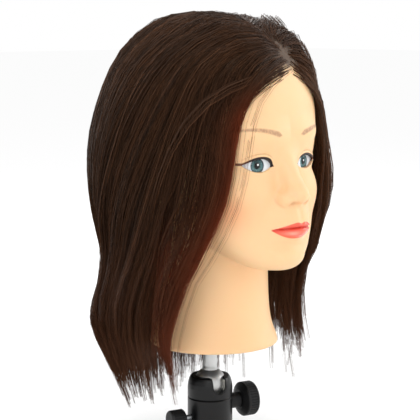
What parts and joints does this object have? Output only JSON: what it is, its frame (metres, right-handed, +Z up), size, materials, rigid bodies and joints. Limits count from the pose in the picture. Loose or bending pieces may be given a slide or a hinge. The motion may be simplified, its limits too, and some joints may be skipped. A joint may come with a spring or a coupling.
{
  "type": "mannequin training head",
  "caption": "Hairdresser's vinyl training head with long dark brown implanted hair, inset eyes and painted lips, on a panning and tilting ball-head holder with lock knobs.",
  "frame": {"origin": "centre of the mouth of the tripod thread in the underside of the holder's base", "axes": "+Z up through the holder and the head, the face looks along -Y, the head's own left is +X"},
  "size_m": [0.194, 0.2279, 0.3885],
  "materials": {
    "black_coat": "satin black powder coat",
    "black_knob": "matte black moulded rubberised plastic",
    "satin_metal": "satin turned",
    "steel": "turned",
    "brass": "turned",
    "nylon": "natural nylon",
    "rubber": "matte",
    "skin_vinyl": "soft matte vinyl, painted brows and lips",
    "foam": "rigid expanded foam",
    "white_plastic": "moulded",
    "eye_white": "gloss",
    "iris": "printed teal iris with a dark pupil",
    "cornea": "clear gloss",
    "hair": "long implanted dark brown hair"
  },
  "bodies": {
    "base": {"pan_base": "black_coat", "pan_washer": "nylon", "pan_retaining_ring": "steel"},
    "housing": {"holder_housing": "black_coat", "retaining_collar": "black_coat", "upper_seat_ring": "nylon", "lock_bushing": "black_knob"},
    "pan_lock_tip": {"pan_lock_tip": "nylon"},
    "pan_lock": {"pan_lock_screw": "steel", "pan_lock_knob": "black_knob"},
    "lock_wedge": {"lock_wedge": "brass"},
    "ball_lock": {"ball_lock_screw": "steel", "ball_lock_knob": "black_knob", "ball_lock_cap": "black_knob"},
    "ball_cup": {"lower_ball_cup": "nylon"},
    "ball": {"ball": "satin_metal"},
    "stem": {"stem": "satin_metal", "platform": "black_coat", "platform_pad": "rubber", "mounting_stud": "steel", "post_core": "satin_metal", "post_sleeve": "rubber"},
    "head": {"head_skin": "skin_vinyl", "foam_core": "foam", "neck_plate": "white_plastic", "socket_tube": "white_plastic", "eye_white_right": "eye_white", "eye_iris_right": "iris", "eye_cornea_right": "cornea", "eye_white_left": "eye_white", "eye_iris_left": "iris", "eye_cornea_left": "cornea", "hair_top": "hair", "hair_right": "hair", "hair_left": "hair", "hair_back": "hair", "hair_right_lengths": "hair", "hair_left_lengths": "hair", "hair_back_right_lengths": "hair", "hair_back_left_lengths": "hair"}
  },
  "joints": [
    {"name": "pan", "type": "hinge", "parent": "base", "child": "housing", "pos_m": [0, 0, 0.02], "axis": [0, 0, 1], "continuous": true},
    {"name": "pan_tip_slide", "type": "slide", "parent": "housing", "child": "pan_lock_tip", "axis": [-0.9703, 0.2419, 0], "range_m": [0, 0.0008]},
    {"name": "pan_lock_turn", "type": "hinge", "parent": "pan_lock_tip", "child": "pan_lock", "pos_m": [0, 0, 0.029], "axis": [-0.9703, 0.2419, 0], "range_deg": [-20, 380]},
    {"name": "wedge_slide", "type": "slide", "parent": "housing", "child": "lock_wedge", "axis": [0.9703, -0.2419, 0], "range_m": [0, 0.00094]},
    {"name": "ball_lock_turn", "type": "hinge", "parent": "lock_wedge", "child": "ball_lock", "pos_m": [0, 0, 0.0385], "axis": [0.9703, -0.2419, 0], "range_deg": [-20, 290]},
    {"name": "cup_drop", "type": "slide", "parent": "housing", "child": "ball_cup", "axis": [0, 0, -1], "range_m": [-0.00002, 0.00026]},
    {"name": "nod", "type": "hinge", "parent": "housing", "child": "ball", "pos_m": [0, 0, 0.058], "axis": [1, 0, 0], "range_deg": [-22, 22]},
    {"name": "side_tilt", "type": "hinge", "parent": "ball", "child": "stem", "pos_m": [0, 0, 0.058], "axis": [0, 1, 0], "range_deg": [-22, 22]},
    {"name": "head_turn", "type": "hinge", "parent": "stem", "child": "head", "pos_m": [0, 0, 0.12], "axis": [0, 0, 1], "continuous": true}
  ],
  "couplings": [
    {"joint": "pan_lock_turn", "follows": "pan_tip_slide", "rad_per_m": 7854},
    {"joint": "ball_lock_turn", "follows": "wedge_slide", "rad_per_m": 5026.6},
    {"joint": "cup_drop", "follows": "wedge_slide", "ratio": 0.25}
  ]
}
